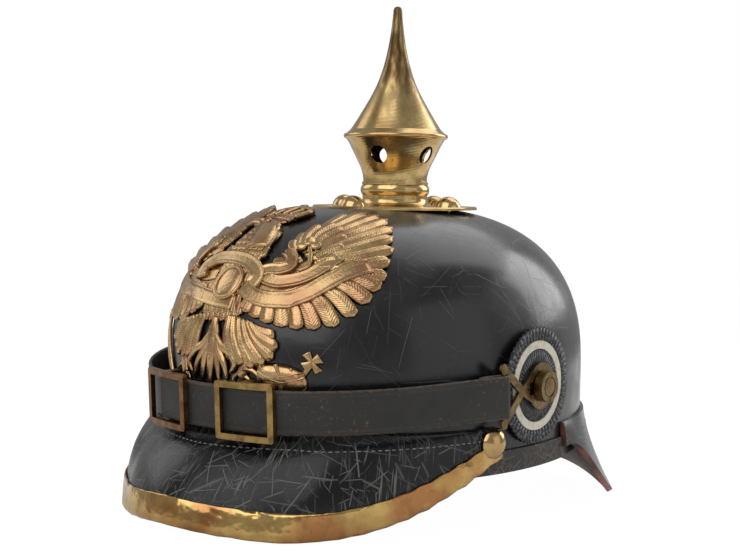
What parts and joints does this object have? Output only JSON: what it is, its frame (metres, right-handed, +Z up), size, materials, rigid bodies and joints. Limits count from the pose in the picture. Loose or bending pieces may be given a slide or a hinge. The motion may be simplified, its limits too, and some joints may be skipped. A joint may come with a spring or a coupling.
{
  "type": "pickelhaube",
  "caption": "Spiked leather parade helmet with front and rear visors, eagle plate, cockades, lining and a chin strap that swings up with sliding buckles.",
  "frame": {"origin": "centre of the helmet's bounding box in plan, on the flat ground that both visors rest on", "axes": "+X to the wearer's left, -Y to the wearer's front, +Z up with the helmet standing on its two visors"},
  "size_m": [0.1822, 0.2734, 0.2191],
  "materials": {
    "black_leather": "glossy black lacquered leather with scratches",
    "worn_leather": "dull grey brown worn leather",
    "strap_leather": "dull black strap leather, brown at worn edges",
    "lining_leather": "tan lining leather",
    "brass": "polished brass with patina",
    "stamped_brass": "stamped brass with a rosy patina",
    "aged_brass": "darkened brass",
    "cockade_enamel": "black paint on fluted sheet, cream ring",
    "steel": "dull steel"
  },
  "bodies": {
    "helmet": {"leather_shell": "black_leather", "front_visor": "black_leather", "front_visor_trim": "brass", "rear_visor": "black_leather", "rear_spine": "brass", "spine_stud_upper": "brass", "spine_stud_lower": "brass", "spike_base_plate": "brass", "spike_neck": "brass", "spike_cone": "brass", "eagle_plate": "stamped_brass", "sweatband": "lining_leather", "base_stud_front": "brass", "base_stud_left": "brass", "base_stud_rear": "brass", "base_stud_right": "brass", "stud_washer_front": "steel", "stud_washer_left": "steel", "stud_washer_rear": "steel", "stud_washer_right": "steel", "liner_finger_1": "lining_leather", "liner_finger_2": "lining_leather", "liner_finger_3": "lining_leather", "liner_finger_4": "lining_leather", "liner_finger_5": "lining_leather", "liner_finger_6": "lining_leather", "liner_finger_7": "lining_leather", "liner_finger_8": "lining_leather", "cockade_left": "cockade_enamel", "cockade_right": "cockade_enamel", "side_post_left": "aged_brass", "side_post_right": "aged_brass", "post_washer_left": "steel", "post_washer_right": "steel", "post_nut_left": "steel", "post_nut_right": "steel", "trim_stud_left": "brass", "trim_stud_right": "brass", "side_edge_strip_left": "worn_leather", "side_edge_strip_right": "worn_leather", "plate_loop_left": "brass", "plate_loop_right": "brass", "plate_wedge_left": "lining_leather", "plate_wedge_right": "lining_leather"},
    "chin_strap": {"chin_strap_left": "strap_leather", "chin_strap_right": "strap_leather", "strap_hook_left": "aged_brass", "strap_hook_right": "aged_brass"},
    "buckle_left": {"buckle_left": "brass"},
    "buckle_right": {"buckle_right": "aged_brass"}
  },
  "joints": [
    {"name": "chin_strap_swing", "type": "hinge", "parent": "helmet", "child": "chin_strap", "pos_m": [0, -0.01189, 0.05901], "axis": [-1, 0, 0], "range_deg": [0, 60]},
    {"name": "buckle_left_slide", "type": "hinge", "parent": "chin_strap", "child": "buckle_left", "pos_m": [0, -0.00444, 0.05989], "axis": [0, 0.1175, -0.9931], "range_deg": [0, 3.3]},
    {"name": "buckle_right_slide", "type": "hinge", "parent": "chin_strap", "child": "buckle_right", "pos_m": [0, -0.00444, 0.05989], "axis": [0, -0.1175, 0.9931], "range_deg": [0, 3.3]}
  ],
  "couplings": [
    {"joint": "buckle_right_slide", "follows": "buckle_left_slide", "ratio": 1}
  ]
}
